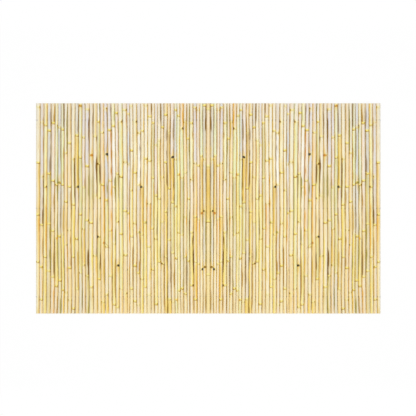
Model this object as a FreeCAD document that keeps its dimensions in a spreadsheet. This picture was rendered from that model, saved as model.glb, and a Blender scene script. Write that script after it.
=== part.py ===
import FreeCAD, Part
import math
import os
import Sketcher

# Bamboo cane fence, unrolled and lying flat on the floor.
# X runs along the fence, Y along the canes from foot to head, Z up from the floor.
# The origin is on the floor under the middle of the fence.

sizes = {
    "cane_length": 1500,
    "wall_thickness": 3.0,
    "ridge_height": 1.1,
    "ridge_length": 7,
    "diaphragm_thickness": 3,
    "joint_clearance": 0.5,
    "wire_diameter": 2,
    "wire_hole_clearance": 0.4,
    "foot_wire_inset": 120,
    "head_wire_inset": 120,
    "wire_bend_radius": 3,
    "wire_standoff": 1.2,
    "wire_front_clearance": 0.6,
    "wire_tip_length": 4,
}

# One row for each cane of the left half, from the outer edge inwards, then the middle cane:
# diameter at the foot, diameter at the head, heights of the joints above the foot,
# and the distance of the topmost joint below the head.
cane_schedule = [
    (22.5, 29.5, (367, 704, 1075), 29),
    (23.5, 25.0, (99, 331, 631, 975), 139),
    (23.0, 23.0, (403, 903), 157),
    (28.5, 25.5, (302, 638, 996), 197),
    (25.5, 26.0, (260, 588, 946), 143),
    (23.5, 19.0, (195, 535, 917), 161),
    (23.0, 20.5, (235, 550, 933), 174),
    (18.5, 22.0, (167, 564, 918), 189),
    (23.5, 21.0, (150, 488, 796), 357),
    (26.0, 25.5, (95, 324, 592, 903), 286),
    (23.5, 25.5, (34, 403, 776), 400),
    (24.5, 23.5, (174, 531, 903), 231),
    (24.0, 21.0, (288, 706, 1112), 19),
    (23.0, 20.0, (344, 601, 899), 245),
    (23.5, 29.0, (267, 664, 1050), 46),
    (29.5, 25.0, (188, 646), 372),
    (30.0, 25.5, (410, 839), 239),
    (23.0, 21.0, (245, 546, 821, 1067), 134),
    (27.5, 25.5, (81, 503, 917), 211),
    (22.5, 25.0, (134, 474, 807, 1134), 39),
    (25.5, 26.5, (267, 592, 946), 193),
    (22.5, 25.5, (63, 495, 901), 164),
    (23.0, 21.0, (45, 342, 653, 997), 71),
    (24.0, 29.0, (174, 567, 975), 134),
    (30.0, 30.0, (142, 415, 730, 1078), 50),
    (15.0, 18.5, (310, 715, 1063), 79),
    (23.5, 20.0, (176, 549, 878, 1162), 21),
    (23.5, 28.0, (86, 340, 642, 1003), 134),
    (22.5, 25.0, (59, 288, 578, 916), 214),
    (23.5, 22.0, (245, 563, 901), 199),
    (21.5, 23.5, (189, 649, 1103), 18),
    (28.5, 27.0, (134, 475, 781, 1088), 96),
    (23.5, 17.0, (313, 606, 967), 143),
    (23.0, 19.5, (66, 531, 841), 300),
    (19.0, 23.5, (370, 817), 268),
    (25.5, 19.0, (355, 651, 971), 173),
    (19.5, 24.5, (403, 724, 1077), 84),
    (24.0, 18.5, (101, 524, 892), 204),
    (23.5, 25.5, (81, 431, 792), 386),
    (17.5, 19.0, (97, 392, 764, 1098), 50),
    (19.5, 20.5, (162, 576, 991), 91),
    (22.0, 25.0, (177, 560, 967), 182),
    (22.0, 22.0, (139, 403, 686, 1003), 136),
    (18.0, 19.0, (373, 817), 254),
    (27.5, 23.5, (200, 578, 953), 143),
    (23.5, 23.0, (99, 368, 689, 1069), 32),
    (17.0, 21.0, (352, 671, 1053), 51),
    (20.5, 19.5, (315, 714), 378),
    (19.5, 23.5, (331, 730, 1098), 17),
    (27.0, 25.0, (277, 656, 1050), 43),
]
middle_cane = len(cane_schedule)

doc = FreeCAD.newDocument("bamboo_fence")


sheet = doc.addObject("Spreadsheet::Sheet", "sizes")


def write_cell(column, row, alias, value):
    cell = column + str(row)
    sheet.set(cell, str(value))
    sheet.setAlias(cell, alias)


for row, (name, value) in enumerate(sizes.items(), start=1):
    sheet.set("A%d" % row, name)
    write_cell("B", row, name, value)

first_cane_row = len(sizes) + 3
sheet.set("A%d" % (first_cane_row - 1), "cane")
for cane, (foot, head, joints, below_head) in enumerate(cane_schedule, start=1):
    row = first_cane_row + cane - 1
    sheet.set("A%d" % row, str(cane))
    write_cell("B", row, "foot_diameter_%02d" % cane, foot)
    write_cell("C", row, "head_diameter_%02d" % cane, head)
    write_cell("D", row, "top_joint_%02d" % cane, below_head)
    for column, (place, height) in zip("EFGH", enumerate(joints, start=1)):
        write_cell(column, row, "joint_%02d_%d" % (cane, place), height)

# Neighbouring canes touch at their joints, so the gap between them is one ridge wide.
# The middle cane stands on the centre line and the others follow it outwards.
last_row = first_cane_row + middle_cane - 1
write_cell("B", last_row + 2, "cane_gap", "=ridge_height + joint_clearance")
largest = "max(B%d:C%d)" % (first_cane_row, last_row)
write_cell("B", last_row + 3, "axis_height", "=%s / 2 + ridge_height" % largest)
for cane in range(middle_cane, 0, -1):
    row = first_cane_row + cane - 1
    for column, end in (("I", "foot"), ("J", "head")):
        if cane == middle_cane:
            formula = "=0"
        else:
            formula = "=%s_x_%02d - (%s_diameter_%02d + %s_diameter_%02d) / 2 - cane_gap" % (
                end, cane + 1, end, cane + 1, end, cane)
        write_cell(column, row, "%s_x_%02d" % (end, cane), formula)
doc.recompute()


def origin_plane(body, role):
    return next(item for item in body.Origin.OriginFeatures if item.Role == role)


def new_sketch(body, name, role):
    sketch = body.newObject("Sketcher::SketchObject", name)
    sketch.AttachmentSupport = (origin_plane(body, role), [""])
    sketch.MapMode = "FlatFace"
    return sketch


def add_rules(sketch, rules):
    """Adds constraints; a rule with a formula is bound to the sheet."""
    indices = sketch.addConstraint([rule for rule, formula in rules])
    for index, (rule, formula) in zip(indices, rules):
        if formula:
            sketch.setExpression("Constraints[%d]" % index, formula)


def point(x, y):
    return FreeCAD.Vector(x, y, 0)


def arc(centre, radius, start, end):
    """Arc from the start angle to the end angle, in degrees anticlockwise."""
    circle = Part.Circle(centre, FreeCAD.Vector(0, 0, 1), radius)
    return Part.ArcOfCircle(circle, math.radians(start), math.radians(end))


def local_diameter(cane, height):
    """Formula for the diameter of a cane at a height above its foot."""
    foot = "sizes.foot_diameter_%02d" % cane
    head = "sizes.head_diameter_%02d" % cane
    return "(%s + (%s - %s) * (%s) / sizes.cane_length)" % (foot, head, foot, height)


def joint_formulas(cane):
    """Heights of all joints of a cane above its foot, lowest first."""
    count = len(cane_schedule[cane - 1][2])
    formulas = ["sizes.joint_%02d_%d" % (cane, place) for place in range(1, count + 1)]
    return formulas + ["sizes.cane_length - sizes.top_joint_%02d" % cane]


# Radius of the arc that rises by the ridge height over the ridge length.
ridge_radius = (
    "(pow(sizes.ridge_height; 2) + pow(sizes.ridge_length / 2; 2))"
    " / (2 * sizes.ridge_height)"
)


def make_cane(cane):
    foot, head, joints, below_head = cane_schedule[cane - 1]
    length = sizes["cane_length"]
    heights = list(joints) + [length - below_head]
    formulas = joint_formulas(cane)
    ends = [0] + heights + [length]
    end_formulas = ["0"] + formulas + ["sizes.cane_length"]
    internodes = list(zip(ends, ends[1:]))
    radii = [(foot + (head - foot) * (low + high) / 2 / length) / 2 for low, high in internodes]
    radius_formulas = [
        local_diameter(cane, "(%s + %s) / 2" % pair) + " / 2"
        for pair in zip(end_formulas, end_formulas[1:])
    ]

    body = doc.addObject("PartDesign::Body", "cane_%02d" % cane)

    # Outside: straight internodes, each a little thinner or thicker than the last,
    # with a rounded ridge at every joint.
    outline = new_sketch(body, "outline_%02d" % cane, "XY_Plane")
    half_ridge = sizes["ridge_length"] / 2
    lines = [Part.LineSegment(point(0, 0), point(radii[0], 0))]
    start = point(radii[0], 0)
    for joint, below, above in zip(heights, radii, radii[1:]):
        ridge_start = point(below, joint - half_ridge)
        ridge_end = point(above, joint + half_ridge)
        crest = point((below + above) / 2 + sizes["ridge_height"], joint)
        lines.append(Part.LineSegment(start, ridge_start))
        lines.append(Part.Arc(ridge_start, crest, ridge_end))
        start = ridge_end
    lines.append(Part.LineSegment(start, point(radii[-1], length)))
    lines.append(Part.LineSegment(point(radii[-1], length), point(0, length)))
    lines.append(Part.LineSegment(point(0, length), point(0, 0)))
    outline.addGeometry(lines, False)

    last = len(lines) - 1
    rules = [
        (Sketcher.Constraint("Coincident", 0, 1, -1, 1), None),
        (Sketcher.Constraint("Horizontal", 0), None),
        (Sketcher.Constraint("Coincident", 0, 2, 1, 1), None),
        (Sketcher.Constraint("Horizontal", last - 1), None),
        (Sketcher.Constraint("Coincident", last - 2, 2, last - 1, 1), None),
        (Sketcher.Constraint("Coincident", last - 1, 2, last, 1), None),
        (Sketcher.Constraint("Coincident", last, 2, -1, 1), None),
        (Sketcher.Constraint("Vertical", last), None),
        (Sketcher.Constraint("DistanceY", last, 2, last, 1, length), "sizes.cane_length"),
    ]
    for place, (radius, formula) in enumerate(zip(radii, radius_formulas)):
        line = 1 + 2 * place
        rules.append((Sketcher.Constraint("Vertical", line), None))
        rules.append((Sketcher.Constraint("DistanceX", -1, 1, line, 1, radius), formula))
    for place, (joint, formula) in enumerate(zip(heights, formulas)):
        line, ridge = 1 + 2 * place, 2 + 2 * place
        low = Sketcher.Constraint("DistanceY", -1, 1, line, 2, joint - half_ridge)
        high = Sketcher.Constraint("DistanceY", -1, 1, ridge + 1, 1, joint + half_ridge)
        curve = Sketcher.Constraint("Radius", ridge, outline.Geometry[ridge].Radius)
        rules += [
            (Sketcher.Constraint("Coincident", line, 2, ridge, 1), None),
            (Sketcher.Constraint("Coincident", ridge + 1, 1, ridge, 2), None),
            (low, "%s - sizes.ridge_length / 2" % formula),
            (high, "%s + sizes.ridge_length / 2" % formula),
            (curve, ridge_radius),
        ]
    add_rules(outline, rules)

    turned = body.newObject("PartDesign::Revolution", "turned_%02d" % cane)
    turned.Profile = outline
    turned.ReferenceAxis = (outline, ["V_Axis"])
    turned.Angle = 360

    # Inside: one hollow chamber in each internode, closed by a diaphragm at every joint.
    chambers = new_sketch(body, "chambers_%02d" % cane, "XY_Plane")
    half_wall = sizes["diaphragm_thickness"] / 2
    floors = [0] + [joint + half_wall for joint in heights]
    roofs = [joint - half_wall for joint in heights] + [length]
    floor_formulas = ["0"] + ["%s + sizes.diaphragm_thickness / 2" % joint for joint in formulas]
    roof_formulas = ["%s - sizes.diaphragm_thickness / 2" % joint for joint in formulas]
    roof_formulas.append("sizes.cane_length")
    rules = []
    for place, (low, high) in enumerate(zip(floors, roofs)):
        bore = radii[place] - sizes["wall_thickness"]
        corners = [point(0, low), point(bore, low), point(bore, high), point(0, high)]
        pairs = zip(corners, corners[1:] + corners[:1])
        chambers.addGeometry([Part.LineSegment(one, two) for one, two in pairs], False)
        base, side, roof, axis = (4 * place + offset for offset in range(4))
        if place == 0:
            rules.append((Sketcher.Constraint("Coincident", base, 1, -1, 1), None))
        else:
            rules.append((Sketcher.Constraint("PointOnObject", base, 1, -2), None))
            foot_height = Sketcher.Constraint("DistanceY", -1, 1, base, 1, low)
            rules.append((foot_height, floor_formulas[place]))
        rules += [
            (Sketcher.Constraint("Coincident", base, 2, side, 1), None),
            (Sketcher.Constraint("Coincident", side, 2, roof, 1), None),
            (Sketcher.Constraint("Coincident", roof, 2, axis, 1), None),
            (Sketcher.Constraint("Coincident", axis, 2, base, 1), None),
            (Sketcher.Constraint("Horizontal", base), None),
            (Sketcher.Constraint("Vertical", side), None),
            (Sketcher.Constraint("Horizontal", roof), None),
            (Sketcher.Constraint("Vertical", axis), None),
            (Sketcher.Constraint("DistanceY", -1, 1, roof, 2, high), roof_formulas[place]),
            (Sketcher.Constraint("DistanceX", -1, 1, side, 1, bore),
             "%s - sizes.wall_thickness" % radius_formulas[place]),
        ]
    add_rules(chambers, rules)

    hollow = body.newObject("PartDesign::Groove", "hollow_%02d" % cane)
    hollow.Profile = chambers
    hollow.ReferenceAxis = (chambers, ["V_Axis"])
    hollow.Angle = 360

    # Three holes straight across the cane, one for each wire.
    holes = new_sketch(body, "holes_%02d" % cane, "YZ_Plane")
    rules = []
    hole_radius = sizes["wire_diameter"] / 2 + sizes["wire_hole_clearance"]
    for place, (height, formula) in enumerate(wire_rows.values()):
        circle = Part.Circle(point(height, 0), FreeCAD.Vector(0, 0, 1), hole_radius)
        holes.addGeometry(circle, False)
        rules += [
            (Sketcher.Constraint("PointOnObject", place, 3, -1), None),
            (Sketcher.Constraint("DistanceX", -1, 1, place, 3, height), formula),
            (Sketcher.Constraint("Radius", place, hole_radius),
             "sizes.wire_diameter / 2 + sizes.wire_hole_clearance"),
        ]
    add_rules(holes, rules)

    drilled = body.newObject("PartDesign::Pocket", "drilled_%02d" % cane)
    drilled.Profile = holes
    drilled.Type = 1
    drilled.SideType = "Symmetric"

    # The cane leans a little where its foot and head don't stand in line.
    lean = "atan((sizes.foot_x_%02d - sizes.head_x_%02d) / sizes.cane_length)" % (cane, cane)
    body.Placement = FreeCAD.Placement(point(0, 0), FreeCAD.Rotation(FreeCAD.Vector(0, 0, 1), 0))
    body.setExpression("Placement.Base.x", "sizes.foot_x_%02d" % cane)
    body.setExpression("Placement.Base.y", "-sizes.cane_length / 2")
    body.setExpression("Placement.Base.z", "sizes.axis_height")
    body.setExpression("Placement.Rotation.Angle", lean)
    return body


wire_rows = {
    "foot_wire": (sizes["foot_wire_inset"], "sizes.foot_wire_inset"),
    "middle_wire": (sizes["cane_length"] / 2, "sizes.cane_length / 2"),
    "head_wire": (sizes["cane_length"] - sizes["head_wire_inset"],
                  "sizes.cane_length - sizes.head_wire_inset"),
}

canes = [make_cane(cane) for cane in range(1, middle_cane + 1)]


def make_wire(name):
    """A straight wire through all canes, with both ends bent up and over the outer canes."""
    height, row = wire_rows[name]
    body = doc.addObject("PartDesign::Body", name + "_body")
    foot_x, head_x = sheet.get("foot_x_01"), sheet.get("head_x_01")
    share = height / sizes["cane_length"]
    centre = -(foot_x + (head_x - foot_x) * share)
    foot, head = cane_schedule[0][:2]
    radius = (foot + (head - foot) * share) / 2
    thickness = sizes["wire_diameter"] / 2
    bend = sizes["wire_bend_radius"]
    reach = centre + radius + sizes["wire_standoff"] + thickness
    turn = radius + sizes["wire_front_clearance"] + thickness - bend
    tip = sizes["wire_tip_length"]

    path = new_sketch(body, name + "_path", "XZ_Plane")
    path.addGeometry([
        Part.LineSegment(point(0, 0), point(-reach + bend, 0)),
        arc(point(-reach + bend, bend), bend, 180, 270),
        arc(point(-reach + turn, bend), turn, 90, 180),
        Part.LineSegment(point(-reach + turn, bend + turn),
                         point(-reach + turn + tip, bend + turn)),
    ], False)
    centre_formula = (
        "-(sizes.foot_x_01 + (sizes.head_x_01 - sizes.foot_x_01) * (%s) / sizes.cane_length)"
        % row)
    radius_formula = local_diameter(1, row) + " / 2"
    reach_formula = "%s + %s + sizes.wire_standoff + sizes.wire_diameter / 2" % (
        centre_formula, radius_formula)
    turn_formula = (
        "%s + sizes.wire_front_clearance + sizes.wire_diameter / 2 - sizes.wire_bend_radius"
        % radius_formula)
    add_rules(path, [
        (Sketcher.Constraint("Coincident", 0, 1, -1, 1), None),
        (Sketcher.Constraint("Horizontal", 0), None),
        (Sketcher.Constraint("Tangent", 0, 2, 1, 2), None),
        (Sketcher.Constraint("Tangent", 1, 1, 2, 2), None),
        (Sketcher.Constraint("Tangent", 2, 1, 3, 1), None),
        (Sketcher.Constraint("Horizontal", 3), None),
        (Sketcher.Constraint("Radius", 1, bend), "sizes.wire_bend_radius"),
        (Sketcher.Constraint("Radius", 2, turn), turn_formula),
        (Sketcher.Constraint("DistanceX", 1, 1, -1, 1, reach), reach_formula),
        (Sketcher.Constraint("Horizontal", 1, 1, 1, 3), None),
        (Sketcher.Constraint("DistanceX", 3, 1, 3, 2, tip), "sizes.wire_tip_length"),
    ])

    section = new_sketch(body, name + "_section", "YZ_Plane")
    section.addGeometry(Part.Circle(point(0, 0), FreeCAD.Vector(0, 0, 1), thickness), False)
    add_rules(section, [
        (Sketcher.Constraint("Coincident", 0, 3, -1, 1), None),
        (Sketcher.Constraint("Radius", 0, thickness), "sizes.wire_diameter / 2"),
    ])

    half_wire = body.newObject("PartDesign::AdditivePipe", name + "_half")
    half_wire.Profile = section
    half_wire.Spine = (path, ["Edge1", "Edge2", "Edge3", "Edge4"])
    doc.recompute()
    whole = body.newObject("PartDesign::Mirrored", name + "_whole")
    whole.Originals = [half_wire]
    whole.MirrorPlane = (origin_plane(body, "YZ_Plane"), [""])
    body.Tip = whole
    body.setExpression("Placement.Base.y", "%s - sizes.cane_length / 2" % row)
    body.setExpression("Placement.Base.z", "sizes.axis_height")
    body.Label = name
    return body


wires = [make_wire(name) for name in wire_rows]


def mirrored(source, name):
    """The right half of the fence is the left half seen in a mirror."""
    twin = doc.addObject("Part::Mirroring", name)
    twin.Source = source
    twin.Base = FreeCAD.Vector(0, 0, 0)
    twin.Normal = FreeCAD.Vector(1, 0, 0)
    return twin


nodes = list(wires)
for first in range(1, middle_cane - 1, 2):
    label = "canes_%02d_%02d" % (first, first + 1)
    left = doc.addObject("Part::Compound", "left_" + label)
    left.Links = [canes[first - 1], canes[first]]
    nodes += [left, mirrored(left, "right_" + label)]
inner = canes[middle_cane - 2]
middle = doc.addObject("Part::Compound", "middle_canes")
middle.Links = [inner, canes[-1], mirrored(inner, "inner_cane_right")]
nodes.append(middle)
doc.recompute()


for item in doc.Objects:
    if "Invalid" in item.State or "Error" in item.State:
        raise RuntimeError("%s failed: %s" % (item.Label, item.State))
for node in nodes:
    if node.Shape.isNull() or not node.Shape.isValid():
        raise RuntimeError("%s has no valid shape" % node.Label)
for cane, body in enumerate(canes, start=1):
    turned = doc.getObject("turned_%02d" % cane).Shape.Volume
    hollow = doc.getObject("hollow_%02d" % cane).Shape.Volume
    if not body.Shape.Volume < hollow < turned:
        raise RuntimeError("%s isn't hollow or isn't drilled" % body.Label)

os.makedirs("parts", exist_ok=True)
for node in nodes:
    node.Shape.exportStep("parts/%s.step" % node.Label)
    print(node.Label, round(node.Shape.Volume), len(node.Shape.Solids))
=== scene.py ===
import math
import random
import bpy
import numpy as np
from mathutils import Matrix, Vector


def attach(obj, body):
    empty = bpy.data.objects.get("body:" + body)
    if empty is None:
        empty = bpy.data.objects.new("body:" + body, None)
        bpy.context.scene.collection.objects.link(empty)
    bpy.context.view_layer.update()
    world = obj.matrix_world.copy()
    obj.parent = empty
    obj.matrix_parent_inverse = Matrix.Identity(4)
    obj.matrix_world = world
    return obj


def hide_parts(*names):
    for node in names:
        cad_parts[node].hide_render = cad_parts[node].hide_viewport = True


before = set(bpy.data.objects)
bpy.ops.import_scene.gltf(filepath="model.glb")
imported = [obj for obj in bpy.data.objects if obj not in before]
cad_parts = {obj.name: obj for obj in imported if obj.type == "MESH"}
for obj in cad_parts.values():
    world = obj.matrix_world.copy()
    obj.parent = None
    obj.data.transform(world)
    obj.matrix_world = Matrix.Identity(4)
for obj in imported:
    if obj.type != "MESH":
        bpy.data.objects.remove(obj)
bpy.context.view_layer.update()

# Bamboo cane fence, unrolled and lying flat. Metres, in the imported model's own frame:
# X along the fence, Y up the canes from foot to head, Z up from the floor.
# The right half mirrors the left one, so every pattern reads the distance from the middle.

# Colours by name, sRGB 0 to 255.
tones = {
    "cream": (246, 238, 208),
    "white": (249, 248, 238),
    "lemon": (248, 242, 174),
    "yellow": (246, 230, 130),
    "golden": (242, 213, 112),
    "amber": (236, 198, 88),
    "peach": (245, 222, 176),
    "pink": (241, 227, 213),
    "lilac": (222, 217, 219),
    "cool": (211, 218, 224),
    "grey": (215, 209, 184),
    "sage": (218, 221, 174),
    "lime": (232, 239, 190),
    "olive": (206, 202, 142),
    "beige": (234, 220, 188),
    "ochre": (216, 182, 88),
    "orange": (233, 174, 48),
    "brown": (188, 148, 66),
    "umber": (130, 92, 16),
    "moss": (166, 154, 72),
    "rust": (204, 136, 38),
    "soot": (38, 29, 25),
    "steel": (150, 152, 154),
    "paper": (250, 250, 250),
}

# For each cane from the outer edge inwards, and for each internode from foot to head: its tone,
# and after a stroke the tone of the painted shade that darkens the flank facing the middle.
caneTones = [
    "cream/ochre peach/orange peach/ochre cream/beige cream",
    "pink pink/ochre pink/brown lilac/umber lilac/brown",
    "yellow lemon/orange lemon/orange yellow/amber",
    "grey/brown grey/moss olive/umber cool/umber cool/umber",
    "pink/orange peach/umber pink/brown pink/beige peach/brown",
    "pink/brown yellow/moss cream/moss lime/moss lemon",
    "grey/moss olive/ochre cool/umber cool/moss cool",
    "cream/amber yellow/moss cool/ochre lime/brown sage/umber",
    "cream/amber pink/orange peach/ochre peach/brown cream/moss",
    "beige/brown peach pink/brown pink/brown peach/brown",
    "cream/umber beige/brown yellow/umber lemon/umber cream/amber",
    "peach cream/ochre pink/umber golden/umber grey/umber",
    "cool/moss sage/moss sage/olive lime/ochre lemon",
    "pink/brown amber/ochre cream/olive pink/brown lilac/moss",
    "grey/moss grey/umber beige/moss lilac/umber peach",
    "cream/ochre white/yellow beige/moss beige/umber",
    "peach/amber pink/umber cream/umber golden/beige",
    "cream sage/umber cream/brown lemon/umber olive/brown white/moss",
    "golden peach/ochre peach/orange peach/orange pink/amber",
    "golden white/sage lime/moss cool/moss lilac/umber lilac",
    "pink/umber beige/amber pink/orange pink/rust lilac/umber",
    "cream/umber lemon/brown white/moss white/moss lemon/olive",
    "cream cream/amber white/umber lemon/umber pink/brown beige",
    "peach lime/golden lemon/olive lime/golden white/sage",
    "peach peach/beige cream/beige cream/beige cream/rust peach",
    "peach/brown pink/orange lilac/brown cool/brown lilac/brown",
    "cream/ochre cream/brown lemon/golden cream/ochre cream/beige",
    "cream/brown cream/brown cream/rust cream/ochre cream/ochre",
    "pink/brown pink/brown lilac/brown lilac/beige white/umber lilac",
    "yellow yellow/olive amber/ochre cream/golden cream/amber",
    "cream lemon/golden cream/orange cream/golden cream/brown",
    "cream white/golden pink/orange cream/peach cream/ochre peach/umber",
    "beige/brown grey/ochre sage/ochre sage/brown cream/ochre",
    "cream lemon/golden lemon/umber pink/brown lilac/beige",
    "cream/beige lemon/moss lemon/rust cream/umber",
    "beige/brown lilac/brown peach/umber peach/brown grey/brown",
    "golden/umber golden/umber golden/umber beige/umber golden/umber",
    "golden lilac/umber grey/brown ochre/umber peach/brown",
    "beige/umber beige/brown sage/ochre amber/umber pink/umber",
    "lime/ochre white/lime lime/yellow lime/sage cool/sage lime",
    "cream/beige lemon/olive lemon/ochre lime/golden cream/ochre",
    "beige/brown lilac/moss olive/moss lime/olive peach/orange",
    "cream/orange cream/umber cream/orange peach/ochre peach/ochre cream/brown",
    "grey/brown sage/umber grey/moss beige/moss lilac/brown",
    "pink/brown yellow/umber pink/umber lemon/brown cream/brown",
    "peach/ochre amber/orange amber/orange peach/orange lilac/brown cool",
    "pink/ochre pink/orange pink/brown pink/brown peach/orange",
    "cream/brown cream/umber golden/brown lime/umber",
    "beige/umber cool/moss grey/umber grey/umber olive/umber",
    "peach/ochre peach/ochre amber/ochre peach/ochre golden",
]


# Linear light of a named tone, with an alpha of one.
def linear(name):
    shares = [value / 255 for value in tones[name]]
    light = [share / 12.92 if share < 0.04045 else ((share + 0.055) / 1.055) ** 2.4 for share in shares]
    return light + [1]


# Node trees

# Links a socket to another one, or gives it a value of its own.
def feed(tree, socket, value):
    if isinstance(value, bpy.types.NodeSocket):
        tree.links.new(value, socket)
    else:
        socket.default_value = value


def newNode(tree, kind, inputs=None, **settings):
    node = tree.nodes.new(kind)
    for name, value in settings.items():
        setattr(node, name, value)
    for name, value in (inputs or {}).items():
        feed(tree, node.inputs[name], value)
    return node


def maths(tree, operation, first, second=0.0, clamp=False):
    return newNode(tree, "ShaderNodeMath", {0: first, 1: second}, operation=operation,
                   use_clamp=clamp).outputs[0]


def product(tree, first, *others):
    for other in others:
        first = maths(tree, "MULTIPLY", first, other)
    return first


def vectorMaths(tree, operation, first, second=(0, 0, 0)):
    return newNode(tree, "ShaderNodeVectorMath", {0: first, 1: second}, operation=operation).outputs[0]


def parted(tree, vector):
    return newNode(tree, "ShaderNodeSeparateXYZ", {0: vector}).outputs


def combined(tree, **parts):
    return newNode(tree, "ShaderNodeCombineXYZ", parts).outputs[0]


# Goes smoothly from start to end while the value goes from low to high.
def ramp(tree, value, low, high, start=0.0, end=1.0):
    return newNode(tree, "ShaderNodeMapRange", {
        "Value": value, "From Min": low, "From Max": high, "To Min": start, "To Max": end,
    }, interpolation_type="SMOOTHSTEP").outputs["Result"]


# A value that noise lowers or lifts, so that an edge made from it is ragged.
def frayed(tree, value, noise, least, most, low=0.3, high=0.7):
    return maths(tree, "ADD", value, ramp(tree, noise, low, high, least, most))


def mixColour(tree, share, first, second, blend="MIX"):
    node = newNode(tree, "ShaderNodeMix", data_type="RGBA", blend_type=blend)
    for index, value in ((0, share), (6, first), (7, second)):  # 6 and 7 are its colour sockets
        feed(tree, node.inputs[index], value)
    return node.outputs[2]


def newGroup(name, kind, inputs, outputs):
    tree = bpy.data.node_groups.new(name, kind)
    for label, socketType, value in inputs:
        socket = tree.interface.new_socket(label, in_out="INPUT", socket_type=socketType)
        if value is not None:
            socket.default_value = value
    for label, socketType in outputs:
        tree.interface.new_socket(label, in_out="OUTPUT", socket_type=socketType)
    return tree, tree.nodes.new("NodeGroupInput"), tree.nodes.new("NodeGroupOutput")


# Grows a node tree from a guide object and keeps the result as a plain piece of the fence.
def growPiece(name, guide, tree, values):
    bpy.context.scene.collection.objects.link(guide)
    modifier = guide.modifiers.new("grow", "NODES")
    modifier.node_group = tree
    for item in tree.interface.items_tree:
        if item.in_out == "INPUT" and item.name in values:
            modifier[item.identifier] = values[item.name]
    grown = guide.evaluated_get(bpy.context.evaluated_depsgraph_get())
    mesh = bpy.data.meshes.new_from_object(grown)
    bpy.data.objects.remove(guide)
    mesh.name = name
    piece = bpy.data.objects.new(name, mesh)
    bpy.context.scene.collection.objects.link(piece)
    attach(piece, "root")
    print(name, sum(len(face.vertices) - 2 for face in mesh.polygons), "triangles")
    return piece


# The canes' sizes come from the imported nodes.

measuring = {
    "samePoint": 1e-5,
    "ringPoints": 8,  # a ring has at least so many points
    "ringsAtJoint": 5,
    "jointReach": 0.008,  # rings this near each other belong to one joint
    "endDepth": 2e-4,
    "leastLength": 1,  # the chambers inside a cane are shorter
    "centred": 0.001,
}


# The points of each separate shell of a mesh of loose triangles.
def looseParts(mesh):
    points = np.empty(len(mesh.vertices) * 3)
    mesh.vertices.foreach_get("co", points)
    corners = np.empty(len(mesh.loops), int)
    mesh.loops.foreach_get("vertex_index", corners)
    steps = np.round(points.reshape(-1, 3) / measuring["samePoint"])
    places, welded = np.unique(steps, axis=0, return_inverse=True)
    faces = welded.ravel()[corners].reshape(-1, 3)
    shell = np.arange(len(places))
    settled = False
    while not settled:
        lowest = shell[faces].min(1)
        joined = shell.copy()
        for corner in range(3):
            np.minimum.at(joined, faces[:, corner], lowest)
        joined = joined[joined]
        settled = bool((joined == shell).all())
        shell = joined
    return [places[shell == one] * measuring["samePoint"] for one in np.unique(shell)]


# Foot and head centres, joint heights, the radius of each internode and the wall of one cane.
def measureCane(points):
    def endPoints(end):
        return points[np.abs(points[:, 1] - end) < measuring["endDepth"]]

    foot, head = (
        (rim.min(0) + rim.max(0)) / 2
        for rim in (endPoints(points[:, 1].min()), endPoints(points[:, 1].max()))
    )
    length = float(np.linalg.norm(head - foot))
    along = (points - foot) @ ((head - foot) / length)
    across = np.linalg.norm(points - foot - np.outer(along, (head - foot) / length), axis=1)
    steps = np.round(along / measuring["samePoint"]).astype(int)
    heights, counts = np.unique(steps, return_counts=True)
    rings = heights[counts >= measuring["ringPoints"]]
    gap = measuring["jointReach"] / measuring["samePoint"]
    groups = np.split(rings, np.where(np.diff(rings) > gap)[0] + 1)
    joints = [group for group in groups if len(group) >= measuring["ringsAtJoint"]]
    rim = across[along < measuring["endDepth"]]
    return {
        "foot": Vector(foot), "head": Vector(head), "length": length,
        "joints": [float(group[0] + group[-1]) / 2 * measuring["samePoint"] for group in joints],
        "radii": [float(across[steps == group[0]].max()) for group in joints]
        + [float(across[steps == joints[-1][-1]].max())],
        "wall": float(rim.max() - rim.min()),
    }


# Outline of a cane

joint = {
    # Height from the joint and share of the ridge: a sharp sheath scar, a groove and a round swelling.
    "shape": [
        (-0.0120, -0.15), (-0.0060, 0.0), (-0.0036, 0.35), (-0.0024, 0.95), (-0.0016, 1.0),
        (-0.0008, 0.45), (0.0002, 0.4), (0.0014, 0.8), (0.0028, 1.0), (0.0046, 0.6),
        (0.0072, 0.1), (0.0120, -0.1),
    ],
    "ridge": 0.0010,
    "spread": 0.25,
}
internode = {
    "ringSpacing": 0.05, "pairGap": 0.0001, "jointMargin": 0.02,
    "wobble": 0.00022, "inward": 0.7,  # most of the wobble goes inwards
}
caneEnd = {"chamfer": 0.0005, "diaphragm": 0.0015}


# A function for the smooth taper through the middles of the internodes.
def radiusAlong(cane):
    ends = [0] + cane["joints"] + [cane["length"]]
    middles = [(low + high) / 2 for low, high in zip(ends, ends[1:])]
    return lambda height: float(np.interp(height, middles, cane["radii"]))


# Heights of the rings on the skin. Each has its distance from a joint, or None away from joints,
# and how far it stands out from the taper.
def skinRings(cane, chance):
    rings = {}
    for place in cane["joints"]:
        ridge = joint["ridge"] * (1 - joint["spread"] * chance.random())
        for offset, share in joint["shape"]:
            rings[place + offset] = (offset, ridge * share)
    ends = [0] + cane["joints"] + [cane["length"]]
    for low, high in zip(ends, ends[1:]):
        middle = (low + high) / 2
        if low and high < cane["length"]:
            for side in (-1, 1):  # a pair of rings where the nearest joint changes
                rings[middle + side * internode["pairGap"]] = (None, 0.0)
        steps = max(2, round((high - low) / internode["ringSpacing"]))
        for step in range(1, steps):
            height = low + (high - low) * step / steps
            offMiddle = abs(height - middle) > internode["ringSpacing"] / 4
            offJoints = min(abs(height - place) for place in cane["joints"]) > internode["jointMargin"]
            if offMiddle and offJoints:
                rings[height] = (None, internode["wobble"] * (chance.random() - internode["inward"]))
    return rings


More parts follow.
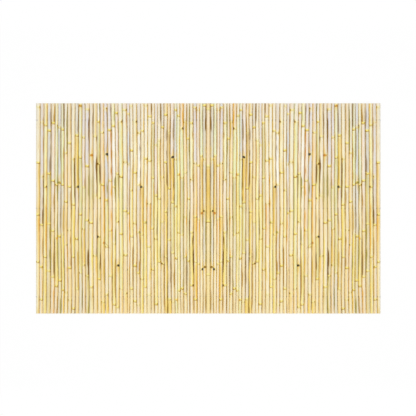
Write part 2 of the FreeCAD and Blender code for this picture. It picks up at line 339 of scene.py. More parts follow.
# The closed outline from the axis at the foot's first partition to the axis at the head's.
# Every point is a height, a radius, the distance from the nearest joint and whether it is sawn or inside.
def outlineOf(cane, number):
    radius = radiusAlong(cane)
    rings = skinRings(cane, random.Random(number))
    length, edge, wall = cane["length"], caneEnd["chamfer"], cane["wall"]
    firstWall = cane["joints"][0] - caneEnd["diaphragm"]
    lastWall = cane["joints"][-1] + caneEnd["diaphragm"]
    footRadius, headRadius = radius(0), radius(length)
    far = 1.0  # no joint is near, and the sign tells foot from head
    rows = [
        (firstWall, 0.0, -far, 1.0),
        (firstWall, radius(firstWall) - wall, -far, 1.0),
        (edge, footRadius - wall, -far, 1.0),
        (0.0, footRadius - wall + edge, -far, 1.0),
        (0.0, footRadius - edge, -far, 1.0),
        (edge, footRadius, -far, 0.0),
    ]
    for height in sorted(rings):
        if edge * 2 < height < length - edge * 2:
            offset, extra = rings[height]
            if offset is None:
                offset = min((height - place for place in cane["joints"]), key=abs)
            rows.append((height, radius(height) + extra, offset, 0.0))
    return rows + [
        (length - edge, headRadius, far, 0.0),
        (length, headRadius - edge, far, 1.0),
        (length, headRadius - wall + edge, far, 1.0),
        (length - edge, headRadius - wall, far, 1.0),
        (lastWall, radius(lastWall) - wall, far, 1.0),
        (lastWall, 0.0, far, 1.0),
    ]


weatherAndShade = {
    "drift": ["cream", "yellow", "golden", "pink", "lilac", "lime", "beige", "white"],
    "driftShare": 0.25,
    # Shares of the painted shade on the flank facing the middle, with a flank tone of its own and without
    # one.
    "darkFlank": (0.5, 1.1),
    "paleFlank": (0.1, 0.4),
    "budPlace": (0.5, 0.95),
    "budSize": (0.0015, 0.0045),
    "jointShare": (0.1, 1.1),
    "seed": 1000,
}

# Knots that stand out in the photograph: cane, joint from the foot, place across the cane
# (1 is the flank facing the middle of the fence), size and tone.
knots = {
    (3, 1): (0.8, 0.006, "umber"), (6, 1): (0.5, 0.007, "orange"), (6, 3): (0.9, 0.006, "umber"),
    (7, 2): (-0.2, 0.009, "moss"), (12, 2): (0.6, 0.009, "soot"), (13, 3): (-0.3, 0.008, "rust"),
    (16, 2): (0.4, 0.010, "rust"), (18, 1): (-0.6, 0.009, "soot"), (18, 3): (-0.5, 0.009, "umber"),
    (19, 1): (0.8, 0.009, "rust"), (20, 3): (0.7, 0.010, "soot"), (21, 1): (0.8, 0.006, "rust"),
    (23, 1): (0.3, 0.010, "soot"), (28, 4): (0.8, 0.006, "umber"), (29, 2): (0.8, 0.008, "moss"),
    (30, 2): (-0.6, 0.010, "soot"), (31, 1): (0.8, 0.007, "moss"), (36, 0): (-0.6, 0.007, "umber"),
    (39, 3): (0.3, 0.010, "soot"), (40, 0): (0.8, 0.006, "orange"), (41, 2): (0.8, 0.007, "rust"),
    (42, 3): (0.8, 0.009, "umber"), (45, 0): (0.8, 0.009, "umber"), (48, 0): (0.7, 0.010, "soot"),
    (48, 1): (0.2, 0.010, "rust"), (49, 0): (0.2, 0.009, "umber"), (49, 1): (-0.4, 0.007, "soot"),
}


# Tone of each internode, painted shade on its flank facing the middle, and look of the bud scar at each
# joint.
def weatheringAndShade(cane, number):
    chance = random.Random(weatherAndShade["seed"] + number)
    words = caneTones[number - 1].split()
    stretches, buds = [], []
    for place in range(len(cane["joints"]) + 1):
        tone, _, flank = words[min(place, len(words) - 1)].partition("/")
        other = np.array(linear(chance.choice(weatherAndShade["drift"])))
        share = chance.random() * weatherAndShade["driftShare"]
        stretches.append({
            "tone": [float(value) for value in np.array(linear(tone)) * (1 - share) + other * share],
            "shadeFlankTone": linear(flank or "beige"),
            "shadeFlankShare": chance.uniform(*weatherAndShade["darkFlank" if flank else "paleFlank"]),
        })
    side = chance.choice((-1, 1))
    for place in range(len(cane["joints"])):
        side = -side  # buds grow on either side in turn
        bud = (side * chance.uniform(*weatherAndShade["budPlace"]), chance.uniform(*weatherAndShade["budSize"]), "umber")
        across, size, tone = knots.get((number, place), bud)
        buds.append({
            "budFlank": float(across), "budSize": float(size), "budTone": linear(tone),
            "jointShare": chance.uniform(*weatherAndShade["jointShare"]),
        })
    return stretches, buds


# Turning the canes

turning = {
    "sides": 24, "circle": 0.001, "weld": 1e-6, "crispAngle": math.radians(42),
    "pressed": 0.00045, "pressReach": 0.012,  # canes are a little wider sideways, away from joints
    "holeRadius": 0.0014, "holeLength": 3.0, "holeSides": 12,
    "ladderSpacing": 0.1, "rungSpacing": 0.01,
}
crook = {
    "amount": 0.014, "scale": 3.4, "detail": 1.0, "roughness": 0.4, "stretch": 0.6,
    "middle": (0.0, 0.15), "outside": (1.05, 1.2, 1.0, 0.0),
}
budScar = {"caneRadius": 0.011, "height": 0.002, "stub": (1.1, 0.3), "stubHeight": 0.18}
budValues = ["jointOffset", "budFlank", "budSize"]
wireRows = [-0.63, 0.0, 0.63]


# One ladder of points for each cane, with what the turning needs kept on the points.
def outlineMesh(name, canes):
    points, edges, values = [], [], {}
    for ladder, (number, cane) in enumerate(canes):
        centred = abs(cane["foot"].x) < measuring["centred"]
        side = 0.0 if centred else -math.copysign(1.0, cane["foot"].x)
        stretches, buds = weatheringAndShade(cane, number)
        first = len(points)
        for height, radius, nearest, inner in outlineOf(cane, number):
            apart = min(abs(nearest) / turning["pressReach"], 1.0) * (1 - inner)
            if len(points) > first:
                edges.append((len(points) - 1, len(points)))
            rung = len(points) - first
            points.append((ladder * turning["ladderSpacing"], rung * turning["rungSpacing"], 0))
            row = {
                "ringRadius": radius,
                "ringCentre": tuple(cane["foot"].lerp(cane["head"], height / cane["length"])),
                "jointOffset": nearest,
                "sawn": inner,
                "pressed": apart * turning["pressed"],
                "innerSide": side,
                "caneNumber": float(number),
                **stretches[sum(place < height for place in cane["joints"])],
                **buds[int(np.argmin([abs(place - height) for place in cane["joints"]]))],
            }
            for label, value in row.items():
                values.setdefault(label, []).append(value)
    mesh = bpy.data.meshes.new(name)
    mesh.from_pydata(points, edges, [])
    for label, found in values.items():
        if isinstance(found[0], float):
            kind, slot = "FLOAT", "value"
        elif len(found[0]) == 3:
            kind, slot = "FLOAT_VECTOR", "vector"
        else:
            kind, slot = "FLOAT_COLOR", "color"
        attribute = mesh.attributes.new(label, kind, "POINT")
        attribute.data.foreach_set(slot, np.array(found, dtype=np.float32).ravel())
    return mesh


def namedAttribute(tree, name, kind="FLOAT"):
    return newNode(tree, "GeometryNodeInputNamedAttribute", {"Name": name}, data_type=kind).outputs[0]


def storeAttribute(tree, geometry, name, value, kind="FLOAT"):
    return newNode(tree, "GeometryNodeStoreNamedAttribute", {
        "Geometry": geometry, "Name": name, "Value": value,
    }, data_type=kind, domain="POINT").outputs[0]


def setPosition(tree, geometry, place):
    return newNode(tree, "GeometryNodeSetPosition", {"Geometry": geometry, "Position": place}).outputs[0]


def setMaterial(tree, geometry, material, selection=True):
    return newNode(tree, "GeometryNodeSetMaterial", {
        "Geometry": geometry, "Material": material, "Selection": selection,
    }).outputs[0]


# Shifts a place sideways by a slow wave that the two halves share.
def crookedPlace(tree, place, amount):
    parts = parted(tree, place)
    away = maths(tree, "ABSOLUTE", parts["X"])
    wave = newNode(tree, "ShaderNodeTexNoise", {
        "Vector": combined(tree, X=away, Y=product(tree, parts["Y"], crook["stretch"])),
        "Scale": crook["scale"], "Detail": crook["detail"], "Roughness": crook["roughness"],
    }).outputs["Fac"]
    swing = product(tree, maths(tree, "SUBTRACT", wave, 0.5), amount)
    held = product(tree, swing, ramp(tree, away, *crook["middle"]))
    inside = product(tree, held, ramp(tree, away, *crook["outside"]))
    shift = combined(tree, X=product(tree, inside, maths(tree, "SIGN", parts["X"])))
    return vectorMaths(tree, "ADD", place, shift)


# How far across the cane a point lies from the bud scar.
def budAcross(tree, flank, budFlank):
    return product(tree, maths(tree, "SUBTRACT", flank, budFlank), budScar["caneRadius"])


# How many of its own sizes a point lies from the middle of the bud scar.
def budDistance(tree, flank, offset, budFlank, budSize):
    spot = combined(tree, X=budAcross(tree, flank, budFlank),
                    Y=maths(tree, "SUBTRACT", offset, budScar["height"]))
    length = newNode(tree, "ShaderNodeVectorMath", {0: spot}, operation="LENGTH").outputs["Value"]
    return maths(tree, "DIVIDE", length, budSize)


# Sweeps a circle up each ladder, then sets every point at its own radius about the cane's axis.
def turnedCanes(tree, given):
    ladders = newNode(tree, "GeometryNodeMeshToCurve", {"Mesh": given["Outlines"]}).outputs[0]
    circle = newNode(tree, "GeometryNodeCurvePrimitiveCircle", {
        "Resolution": given["Sides"], "Radius": turning["circle"],
    }).outputs["Curve"]
    factor = newNode(tree, "GeometryNodeSplineParameter").outputs["Factor"]
    marked = storeAttribute(tree, circle, "turn", product(tree, factor, 2 * math.pi))
    swept = newNode(tree, "GeometryNodeCurveToMesh", {"Curve": ladders, "Profile Curve": marked}).outputs[0]
    sideways, upwards = (maths(tree, wave, namedAttribute(tree, "turn")) for wave in ("COSINE", "SINE"))
    flank = product(tree, sideways, namedAttribute(tree, "innerSide"))
    scar = budDistance(tree, flank, *(namedAttribute(tree, name) for name in budValues))
    stub = product(tree, ramp(tree, scar, *budScar["stub"]), maths(tree, "MAXIMUM", upwards, 0.0),
                   namedAttribute(tree, "budSize"), budScar["stubHeight"])
    radius = maths(tree, "ADD", namedAttribute(tree, "ringRadius"), stub)
    wider = maths(tree, "ADD", radius, namedAttribute(tree, "pressed"))
    reach = combined(tree, X=product(tree, wider, sideways), Z=product(tree, radius, upwards))
    place = vectorMaths(tree, "ADD", namedAttribute(tree, "ringCentre", "FLOAT_VECTOR"), reach)
    placed = setPosition(tree, swept, crookedPlace(tree, place, given["Crook"]))
    sided = storeAttribute(tree, placed, "flank", flank)
    welded = newNode(tree, "GeometryNodeMergeByDistance", {
        "Geometry": sided, "Distance": turning["weld"],
    }).outputs[0]
    return newNode(tree, "GeometryNodeFlipFaces", {"Mesh": welded}).outputs[0]


# Drills the holes for the wires, which lie at the height of the canes' axes.
def drilledCanes(tree, given, canes, axisHeight):
    holes = newNode(tree, "GeometryNodeJoinGeometry")
    for row in wireRows:
        drill = newNode(tree, "GeometryNodeMeshCylinder", {
            "Vertices": turning["holeSides"], "Radius": given["Hole Radius"], "Depth": given["Hole Length"],
        }).outputs["Mesh"]
        laid = newNode(tree, "GeometryNodeTransform", {
            "Geometry": drill, "Translation": (0, row, axisHeight), "Rotation": (0, math.pi / 2, 0),
        }).outputs[0]
        tree.links.new(laid, holes.inputs[0])
    drilled = newNode(tree, "GeometryNodeMeshBoolean", {"Mesh 1": canes, "Mesh 2": holes.outputs[0]},
                      operation="DIFFERENCE", solver="MANIFOLD")
    return drilled.outputs[0]


# Smooth faces, with edges sharp where they turn by more than the crisp angle.
def shadedCanes(tree, canes):
    turn = newNode(tree, "GeometryNodeInputMeshEdgeAngle").outputs[0]
    smooth = newNode(tree, "GeometryNodeSetShadeSmooth", {"Geometry": canes, "Shade Smooth": True},
                     domain="FACE").outputs[0]
    return newNode(tree, "GeometryNodeSetShadeSmooth", {
        "Geometry": smooth, "Selection": maths(tree, "GREATER_THAN", turn, turning["crispAngle"]),
        "Shade Smooth": False,
    }, domain="EDGE").outputs[0]


# What the drilling drops and the materials read.
skinValues = {
    "tone": "FLOAT_COLOR", "shadeFlankTone": "FLOAT_COLOR", "shadeFlankShare": "FLOAT", "jointOffset": "FLOAT",
    "flank": "FLOAT", "sawn": "FLOAT", "caneNumber": "FLOAT", "budFlank": "FLOAT", "budSize": "FLOAT",
    "budTone": "FLOAT_COLOR", "jointShare": "FLOAT",
}


def latheTree(skinMaterial, sawnMaterial, axisHeight):
    tree, inputs, result = newGroup("caneLathe", "GeometryNodeTree", [
        ("Outlines", "NodeSocketGeometry", None),
        ("Sides", "NodeSocketInt", turning["sides"]),
        ("Crook", "NodeSocketFloat", crook["amount"]),
        ("Hole Radius", "NodeSocketFloat", turning["holeRadius"]),
        ("Hole Length", "NodeSocketFloat", turning["holeLength"]),
    ], [("Canes", "NodeSocketGeometry")])
    given = inputs.outputs
    closed = turnedCanes(tree, given)
    finished = drilledCanes(tree, given, closed, axisHeight)
    for label, kind in skinValues.items():
        source = newNode(tree, "GeometryNodeSampleNearestSurface", {
            "Mesh": closed, "Value": namedAttribute(tree, label, kind),
        }, data_type=kind).outputs[0]
        finished = storeAttribute(tree, finished, label, source, kind)
    shaded = shadedCanes(tree, finished)
    real = newNode(tree, "GeometryNodeRealizeInstances", {"Geometry": shaded}).outputs[0]
    skinned = setMaterial(tree, real, skinMaterial)
    sawn = maths(tree, "GREATER_THAN", namedAttribute(tree, "sawn"), 0.5)
    tree.links.new(setMaterial(tree, skinned, sawnMaterial, sawn), result.inputs["Canes"])
    return tree


# Shared surface effects

# Y is lifted by this much, so that only X loses its sign and the halves' patterns match.
liftedY = 5.0


# Object coordinates with X measured from the middle of the fence.
def mirroredPlace(tree):
    place = newNode(tree, "ShaderNodeTexCoord").outputs["Object"]
    return vectorMaths(tree, "ABSOLUTE", vectorMaths(tree, "ADD", place, (0, liftedY, 0)))


# Scale of the pattern along each axis, fineness and detail of each noise. Less along Y is longer.
fibreNoises = {
    "Fibre": ((1, 0.012, 1), 900, 3),
    "Patch": ((1, 0.12, 1), 60, 2),
    "Speck": ((1, 0.5, 1), 260, 2),
    "Streak": ((1, 0.035, 1), 230, 2),
    "Stretch": ((1, 0.1, 1), 40, 2),
}
caneShift = 3.7  # moves the pattern along from one cane to the next


# Long thin streaks and slow cloudy patches that follow the cane.
def fibreGroup():
    tree, given, result = newGroup("caneFibres", "ShaderNodeTree", [
        ("Place", "NodeSocketVector", None), ("Cane", "NodeSocketFloat", 0.0),
        ("Fineness", "NodeSocketFloat", 1.0),
    ], [(label, "NodeSocketFloat") for label in fibreNoises])
    shift = combined(tree, Y=product(tree, given.outputs["Cane"], caneShift))
    place = vectorMaths(tree, "ADD", given.outputs["Place"], shift)
    for label, (stretch, scale, detail) in fibreNoises.items():
        noise = newNode(tree, "ShaderNodeTexNoise", {
            "Vector": vectorMaths(tree, "MULTIPLY", place, stretch),
            "Scale": product(tree, given.outputs["Fineness"], scale),
            "Detail": detail, "Roughness": 0.6,
        }).outputs["Fac"]
        tree.links.new(noise, result.inputs[label])
    return tree


def placeGroup(tree, group, **inputs):
    node = tree.nodes.new("ShaderNodeGroup")
    node.node_tree = group
    for name, value in inputs.items():
        feed(tree, node.inputs[name], value)
    return node.outputs


def meshAttribute(tree, name, output="Fac"):
    return newNode(tree, "ShaderNodeAttribute", attribute_name=name).outputs[output]


def newMaterial(name, **values):
    material = bpy.data.materials.new(name)
    material.use_nodes = True
    tree = material.node_tree
    surface = tree.nodes["Principled BSDF"]
    for label, value in values.items():
        surface.inputs[label.replace("_", " ")].default_value = value
    return material, tree, surface


# Gives a surface its colour, its roughness and a bump of the given strength and depth in metres.
def finishSurface(tree, surface, colour, rough, height, strength, depth):
    tree.links.new(colour, surface.inputs["Base Color"])
    tree.links.new(rough, surface.inputs["Roughness"])
    bump = newNode(tree, "ShaderNodeBump", {"Height": height, "Strength": strength, "Distance": depth})
    tree.links.new(bump.outputs[0], surface.inputs["Normal"])


# Four numbers are where an effect starts and ends, and its share there. Two alone go from 0 to 1.
# A fray is the least and the most that noise adds, and a bump is its strength and its depth in metres.
skin = {
    "gloss": 0.3, "roughness": (0.3, 0.7, 0.36, 0.52), "bump": (0.25, 0.0004),
    "goldenPatch": (0.52, 0.7, 0.0, 0.45), "greyPatch": (0.46, 0.3, 0.0, 0.35),
    "goldenBand": (0.35, -0.15, 0.0, 0.36), "lilacBand": (0.35, 0.75, 0.0, 0.28),
    "jointGlow": (0.03, 0.006, 0.0, 0.4), "ochreStreak": (0.55, 0.7, 0.0, 0.5),
    # Painted shade on the flank facing the middle.
    "deepFlank": (0.2, 0.7), "deepFray": (-0.75, 0.35),
    # Painted highlight on the outer flank.
    "paleFlank": (0.25, -0.5), "paleStretch": (0.35, 0.65, 0.65, 0.1),
    # Painted warm shade on the sides, between the canes, and on the underside.
    "warmSide": (0.8, 0.0, 0.0, 0.82), "warmFray": (-0.2, 0.2), "warmUnder": (-0.6, -0.1, 0.5, 1.0),
    "swellingFoot": (-0.004, -0.001), "swellingHead": (0.012, 0.006), "swellingLemon": 0.7,
    "swellingSide": (0.35, 0.8, 0.0, 0.85), "swellingFray": (-0.5, 0.3),
    "lineFoot": (-0.0095, -0.0055), "lineHead": (-0.0010, -0.003), "lineAcross": (-0.6, 0.5, 0.5, 1.2),
    "trail": (1.2, 0.4, 0.0, 0.6), "trailNarrowing": 0.12,
    "scar": (1.0, 0.8, 0.0, 0.97), "scarFray": (-0.3, 0.4),
    "fibre": (0.35, 0.75, 0.0, 0.3), "stain": (0.68, 0.78, 0.0, 0.7),
    "wireMark": (0.006, 0.002), "wireSide": (0.55, 0.85, 0.0, 0.6), "wireFray": (-0.5, 0.0, 0.35, 0.6),
}


# Tone of the internode, with clouds, broad bands along the fence, and streaks.
def weatheredColour(tree, grain, heights, away):
    colour = meshAttribute(tree, "tone", "Color")
    for share, tone in (
        (ramp(tree, grain["Patch"], *skin["goldenPatch"]), "golden"),
        (ramp(tree, grain["Patch"], *skin["greyPatch"]), "grey"),
        (ramp(tree, heights, *skin["goldenBand"]), "golden"),
        (ramp(tree, heights, *skin["lilacBand"]), "lilac"),
        (ramp(tree, away, *skin["jointGlow"]), "lemon"),
        (ramp(tree, grain["Streak"], *skin["ochreStreak"]), "ochre"),
    ):
        colour = mixColour(tree, share, colour, linear(tone))
    return colour


# The flank that faces the middle is darker and warmer in stretches, a painted shade; the other one
# is paler, a painted highlight; and the sides and the underside are warm, a painted shade between the canes
# and beneath them.
def flankShadeAndHighlight(tree, colour, grain, flank):
    # Painted shade: the flank facing the middle is darker in stretches.
    edge = frayed(tree, flank, grain["Stretch"], *skin["deepFray"])
    paintedShade = product(tree, ramp(tree, edge, *skin["deepFlank"]), meshAttribute(tree, "shadeFlankShare"))
    # Painted highlight: the outer flank is whiter in stretches.
    paintedHighlight = product(tree, ramp(tree, flank, *skin["paleFlank"]),
                   ramp(tree, grain["Stretch"], *skin["paleStretch"]))
    colour = mixColour(tree, paintedHighlight, colour, linear("white"))
    colour = mixColour(tree, paintedShade, colour, meshAttribute(tree, "shadeFlankTone", "Color"))
    # Painted warm shade: below the top, the sides between the canes turn amber, and the underside less so.
    facing = parted(tree, newNode(tree, "ShaderNodeTexCoord").outputs["Normal"])["Z"]
    upward = frayed(tree, facing, grain["Streak"], *skin["warmFray"])
    upward = frayed(tree, upward, grain["Stretch"], *skin["warmFray"])
    paintedWarmShade = product(tree, ramp(tree, upward, *skin["warmSide"]), ramp(tree, facing, *skin["warmUnder"]))
    return mixColour(tree, paintedWarmShade, colour, linear("amber"))


# A dark line under the sheath scar, then a bright yellow swelling with brown sides.
def jointColour(tree, colour, grain, flank, offset):
    strength = meshAttribute(tree, "jointShare")
    swelling = product(tree, ramp(tree, offset, *skin["swellingFoot"]),
                       ramp(tree, offset, *skin["swellingHead"]))
    shown = product(tree, swelling, strength)
    lemon = maths(tree, "MULTIPLY", shown, skin["swellingLemon"], clamp=True)
    colour = mixColour(tree, lemon, colour, linear("lemon"))
    colour = mixColour(tree, maths(tree, "MINIMUM", shown, 1.0), colour, linear("yellow"))
    side = frayed(tree, flank, grain["Speck"], *skin["swellingFray"])
    brown = product(tree, swelling, ramp(tree, side, *skin["swellingSide"]))
    colour = mixColour(tree, brown, colour, linear("brown"))
    line = product(tree, ramp(tree, offset, *skin["lineFoot"]), ramp(tree, offset, *skin["lineHead"]),
                   ramp(tree, flank, *skin["lineAcross"]), strength)
    return mixColour(tree, line, colour, linear("brown"), "MULTIPLY")


# The bud scar at each joint, with a stain that runs along the cane.
def budColour(tree, colour, grain, flank, away):
    bud = [meshAttribute(tree, name) for name in budValues]
    across = maths(tree, "ABSOLUTE", budAcross(tree, flank, bud[1]))
    along = product(tree, away, skin["trailNarrowing"])
    trail = maths(tree, "DIVIDE", maths(tree, "ADD", across, along), bud[2])
    colour = mixColour(tree, ramp(tree, trail, *skin["trail"]), colour, linear("amber"))
    ragged = frayed(tree, budDistance(tree, flank, *bud), grain["Speck"], *skin["scarFray"])
    return mixColour(tree, ramp(tree, ragged, *skin["scar"]), colour, meshAttribute(tree, "budTone", "Color"))


# Fibres, weathered stains, and darker patches on the canes' sides beside the wire holes.
def wornColour(tree, colour, grain, flank, heights):
    colour = mixColour(tree, ramp(tree, grain["Fibre"], *skin["fibre"]), colour, linear("beige"), "MULTIPLY")
    colour = mixColour(tree, ramp(tree, grain["Speck"], *skin["stain"]), colour, linear("umber"))
    side = frayed(tree, maths(tree, "ABSOLUTE", flank), grain["Speck"], *skin["wireFray"])
    for row in wireRows:
        beside = maths(tree, "ABSOLUTE", maths(tree, "SUBTRACT", heights, row))
        mark = product(tree, ramp(tree, beside, *skin["wireMark"]), ramp(tree, side, *skin["wireSide"]))
        colour = mixColour(tree, mark, colour, linear("umber"), "MULTIPLY")
    return colour


def bambooSkin(fibres):
    material, tree, surface = newMaterial("bambooSkin", Specular_IOR_Level=skin["gloss"])
    place = mirroredPlace(tree)
    grain = placeGroup(tree, fibres, Place=place, Cane=meshAttribute(tree, "caneNumber"))
    heights = maths(tree, "SUBTRACT", parted(tree, place)["Y"], liftedY)
    offset = meshAttribute(tree, "jointOffset")
    away = maths(tree, "ABSOLUTE", offset)
    flank = meshAttribute(tree, "flank")
    colour = weatheredColour(tree, grain, heights, away)
    colour = flankShadeAndHighlight(tree, colour, grain, flank)
    colour = jointColour(tree, colour, grain, flank, offset)
    colour = budColour(tree, colour, grain, flank, away)
    colour = wornColour(tree, colour, grain, flank, heights)
    rough = ramp(tree, grain["Fibre"], *skin["roughness"])
    finishSurface(tree, surface, colour, rough, grain["Fibre"], *skin["bump"])
    return material


sawnFace = {
    "fineness": 2.0, "ochre": (0.45, 0.65), "brown": (0.45, 0.65, 0.0, 0.6),
    "roughness": (0.3, 0.7, 0.65, 0.85), "bump": (0.4, 0.0004),
}


# Sawn ends and the inside of the canes.
def sawnBamboo(fibres):
    material, tree, surface = newMaterial("sawnBamboo")
    grain = placeGroup(tree, fibres, Place=mirroredPlace(tree), Cane=meshAttribute(tree, "caneNumber"),
                       Fineness=sawnFace["fineness"])
    colour = mixColour(tree, ramp(tree, grain["Speck"], *sawnFace["ochre"]), linear("beige"), linear("ochre"))
    colour = mixColour(tree, ramp(tree, grain["Patch"], *sawnFace["brown"]), colour, linear("brown"))
    rough = ramp(tree, grain["Speck"], *sawnFace["roughness"])
    finishSurface(tree, surface, colour, rough, grain["Speck"], *sawnFace["bump"])
    return material


# Canes

caneNodes = sorted(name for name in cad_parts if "canes" in name)
nodesPerPiece = 6


# Number and sizes of each cane of a node.
def canesOf(node):
    shells = looseParts(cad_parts[node].data)
    canes = [measureCane(shell) for shell in shells if np.ptp(shell[:, 1]) > measuring["leastLength"]]
    if node == "middle_canes":
        last = len(caneTones)
        return [(last if abs(cane["foot"].x) < measuring["centred"] else last - 1, cane) for cane in canes]
    numbers = [int(word) for word in node.split("_")[2:]]
    canes.sort(key=lambda cane: -abs(cane["foot"].x))
    return list(zip(numbers, canes))


def makeCanes(name, nodes, tree):
    canes = [found for node in nodes for found in canesOf(node)]
    ladders = bpy.data.objects.new(name + "_outlines", outlineMesh(name + "_outlines", canes))
    piece = growPiece(name, ladders, tree, {
        "Sides": turning["sides"], "Crook": crook["amount"],
        "Hole Radius": turning["holeRadius"], "Hole Length": turning["holeLength"],
    })
    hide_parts(*nodes)


fibres = fibreGroup()
axisHeight = canesOf("middle_canes")[0][1]["foot"].z  # the same for all canes
lathe = latheTree(bambooSkin(fibres), sawnBamboo(fibres), axisHeight)
for half in ("left", "right"):
    nodes = [name for name in caneNodes if name.startswith(half)]
    for first in range(0, len(nodes), nodesPerPiece):
        few = nodes[first:first + nodesPerPiece]
        name = "%s_bamboo_%s_%s" % (half, few[0].split("_")[2], few[-1].split("_")[3])
        makeCanes(name, few, lathe)
makeCanes("middle_bamboo_49_50", ["middle_canes"], lathe)
print("canes turned and drilled")


# A thin side twig in each half, from a joint of the nineteenth cane over its two neighbours.
twig = {
    # Distance from the middle of the fence, place along the canes, height above the floor and radius.
    "points": [
        (0.7410, -0.2465, 0.0240, 0.0014), (0.7335, -0.2495, 0.0278, 0.0013),
        (0.7245, -0.2570, 0.0298, 0.0012), (0.7150, -0.2680, 0.0294, 0.0011),
        (0.7075, -0.2785, 0.0298, 0.0010), (0.7000, -0.2860, 0.0306, 0.0007),
    ],
    "sides": 8,
    "fineness": 2.0, "brown": (0.4, 0.6), "umber": (0.55, 0.7, 0.0, 0.8),
    "roughness": (0.3, 0.7, 0.5, 0.7), "bump": (0.3, 0.0003),
}


def twigBark(fibres):
    material, tree, surface = newMaterial("twigBark")
    grain = placeGroup(tree, fibres, Place=mirroredPlace(tree), Fineness=twig["fineness"])
    colour = mixColour(tree, ramp(tree, grain["Streak"], *twig["brown"]), linear("ochre"), linear("brown"))
    colour = mixColour(tree, ramp(tree, grain["Speck"], *twig["umber"]), colour, linear("umber"))
    rough = ramp(tree, grain["Fibre"], *twig["roughness"])
    finishSurface(tree, surface, colour, rough, grain["Fibre"], *twig["bump"])
    return material


def twigTree(bark):
    tree, inputs, result = newGroup("caneTwig", "GeometryNodeTree", [
        ("Line", "NodeSocketGeometry", None),
        ("Sides", "NodeSocketInt", twig["sides"]),
        ("Crook", "NodeSocketFloat", crook["amount"]),
    ], [("Twig", "NodeSocketGeometry")])
    given = inputs.outputs
    circle = newNode(tree, "GeometryNodeCurvePrimitiveCircle", {
        "Resolution": given["Sides"], "Radius": 1.0,
    }).outputs["Curve"]
    tube = newNode(tree, "GeometryNodeCurveToMesh", {
        "Curve": given["Line"], "Profile Curve": circle, "Fill Caps": True,
        "Scale": newNode(tree, "GeometryNodeInputRadius").outputs[0],
    }).outputs[0]
    place = newNode(tree, "GeometryNodeInputPosition").outputs[0]
    placed = setPosition(tree, tube, crookedPlace(tree, place, given["Crook"]))
    real = newNode(tree, "GeometryNodeRealizeInstances", {"Geometry": placed}).outputs[0]
    smooth = newNode(tree, "GeometryNodeSetShadeSmooth", {"Geometry": real, "Shade Smooth": True}).outputs[0]
    tree.links.new(setMaterial(tree, smooth, bark), result.inputs["Twig"])
    return tree


def makeTwig(name, side, tree):
    line = bpy.data.curves.new(name + "_line", "CURVE")
    line.dimensions = "3D"
    spline = line.splines.new("NURBS")
    spline.points.add(len(twig["points"]) - 1)
    for point, (away, along, height, radius) in zip(spline.points, twig["points"]):
        point.co = (side * away, along, height, 1)
        point.radius = radius
    spline.order_u = 3
    spline.use_endpoint_u = True
    guide = bpy.data.objects.new(name + "_line", line)
    growPiece(name, guide, tree, {"Sides": twig["sides"], "Crook": crook["amount"]})


twigNodes = twigTree(twigBark(fibres))
makeTwig("left_twig", -1, twigNodes)
makeTwig("right_twig", 1, twigNodes)
print("twigs grown")


# Wires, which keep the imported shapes

zinc = {
    "spangleScale": 1800.0, "dullScale": 90.0, "detail": 2.0,
    "spangle": (0.3, 0.7, 0.2, 0.8), "dull": (0.58, 0.75, 0.0, 0.6),
    "roughness": (0.3, 0.7, 0.32, 0.6), "bump": (0.05, 0.0001),
}


def galvanizedWire():
    material, tree, surface = newMaterial("galvanizedWire", Metallic=1.0)
    place = newNode(tree, "ShaderNodeTexCoord").outputs["Object"]
    spangle, dull = (
        newNode(tree, "ShaderNodeTexNoise", {
            "Vector": place, "Scale": zinc[scale], "Detail": zinc["detail"],
        }).outputs["Fac"]
        for scale in ("spangleScale", "dullScale")
    )
    colour = mixColour(tree, ramp(tree, spangle, *zinc["spangle"]), linear("steel"), linear("cool"))
    colour = mixColour(tree, ramp(tree, dull, *zinc["dull"]), colour, linear("brown"))
    rough = ramp(tree, dull, *zinc["roughness"])
    finishSurface(tree, surface, colour, rough, spangle, *zinc["bump"])
    return material


wireFinish = galvanizedWire()
for name in ("foot_wire", "middle_wire", "head_wire"):
    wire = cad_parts[name]
    wire.data.materials.clear()
    wire.data.materials.append(wireFinish)
print("wires finished")


# Floor, light and camera

stage = {
    "floorSize": 14.0, "floorDepth": 0.0004, "roughness": 0.9, "covered": (1.228, 0.75),
    # Metres beyond the fence's edge, and how white the floor is there.
    "near": (-0.035, -0.008, 0.0, 0.93),  # keeps a trace of the fence's shadow
    "far": (0.02, 0.6),
}
sky = {"light": 0.52, "seen": 1.0}
softbox = {"place": (0, 0, 4.5), "size": 5.0, "power": 145}
view = {"lens": 135, "frameWidth": 2.974, "centre": (-0.0018, 0.0029), "reach": 3}


# One for the rays that show the background, straight or in gloss and glass.
def backgroundRays(tree):
    rays = newNode(tree, "ShaderNodeLightPath").outputs
    bounced = maths(tree, "MAXIMUM", rays["Is Glossy Ray"], rays["Is Transmission Ray"])
    return maths(tree, "MAXIMUM", rays["Is Camera Ray"], bounced)


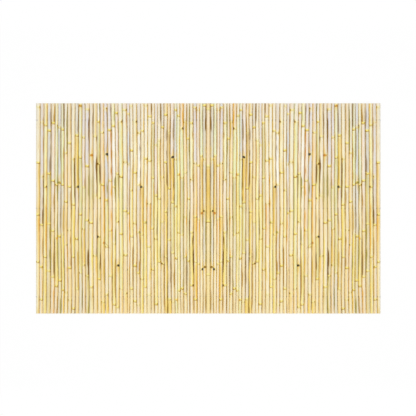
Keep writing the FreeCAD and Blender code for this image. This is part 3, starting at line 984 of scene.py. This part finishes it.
def floorMaterial():
    material, tree, surface = newMaterial("paleFloor", Roughness=stage["roughness"])
    surface.inputs["Base Color"].default_value = linear("paper")
    glow = newNode(tree, "ShaderNodeEmission", {"Color": (1, 1, 1, 1), "Strength": 1.0}).outputs[0]
    parts = parted(tree, newNode(tree, "ShaderNodeTexCoord").outputs["Object"])
    beyond = maths(tree, "MAXIMUM", *(
        maths(tree, "SUBTRACT", maths(tree, "ABSOLUTE", parts[axis]), half)
        for axis, half in zip("XY", stage["covered"])))
    white = maths(tree, "MAXIMUM", ramp(tree, beyond, *stage["near"]), ramp(tree, beyond, *stage["far"]))
    share = product(tree, backgroundRays(tree), white)
    mixed = newNode(tree, "ShaderNodeMixShader", {0: share, 1: surface.outputs[0], 2: glow}).outputs[0]
    tree.links.new(mixed, tree.nodes["Material Output"].inputs["Surface"])
    return material


def makeFloor():
    half = stage["floorSize"] / 2
    corners = [(-half, -half), (half, -half), (half, half), (-half, half)]
    mesh = bpy.data.meshes.new("floor")
    mesh.from_pydata([(x, y, -stage["floorDepth"]) for x, y in corners], [], [(0, 1, 2, 3)])
    mesh.materials.append(floorMaterial())
    floor = bpy.data.objects.new("floor", mesh)
    bpy.context.scene.collection.objects.link(floor)


def makeSky():
    world = bpy.data.worlds.new("studio")
    bpy.context.scene.world = world
    world.use_nodes = True
    tree = world.node_tree
    background = tree.nodes["Background"]
    background.inputs["Color"].default_value = (1, 1, 1, 1)
    strength = ramp(tree, backgroundRays(tree), 0.0, 1.0, sky["light"], sky["seen"])
    tree.links.new(strength, background.inputs["Strength"])


def makeSoftbox():
    data = bpy.data.lights.new("softbox", "AREA")
    data.shape = "DISK"
    data.size = softbox["size"]
    data.energy = softbox["power"]
    light = bpy.data.objects.new("softbox", data)
    light.location = softbox["place"]
    light.rotation_mode = "QUATERNION"
    light.rotation_quaternion = (-Vector(softbox["place"])).to_track_quat("-Z", "Y")
    bpy.context.scene.collection.objects.link(light)


# Looks straight down from where the lens takes in the frame's width.
def makeCamera():
    data = bpy.data.cameras.new("camera")
    data.lens = view["lens"]
    distance = view["frameWidth"] * view["lens"] / data.sensor_width
    data.clip_end = distance * view["reach"]
    camera = bpy.data.objects.new("camera", data)
    camera.location = (*view["centre"], distance)
    bpy.context.scene.collection.objects.link(camera)
    bpy.context.scene.camera = camera


makeFloor()
makeSky()
makeSoftbox()
makeCamera()
bpy.context.scene.view_settings.view_transform = "Standard"
print("floor, light and camera ready")
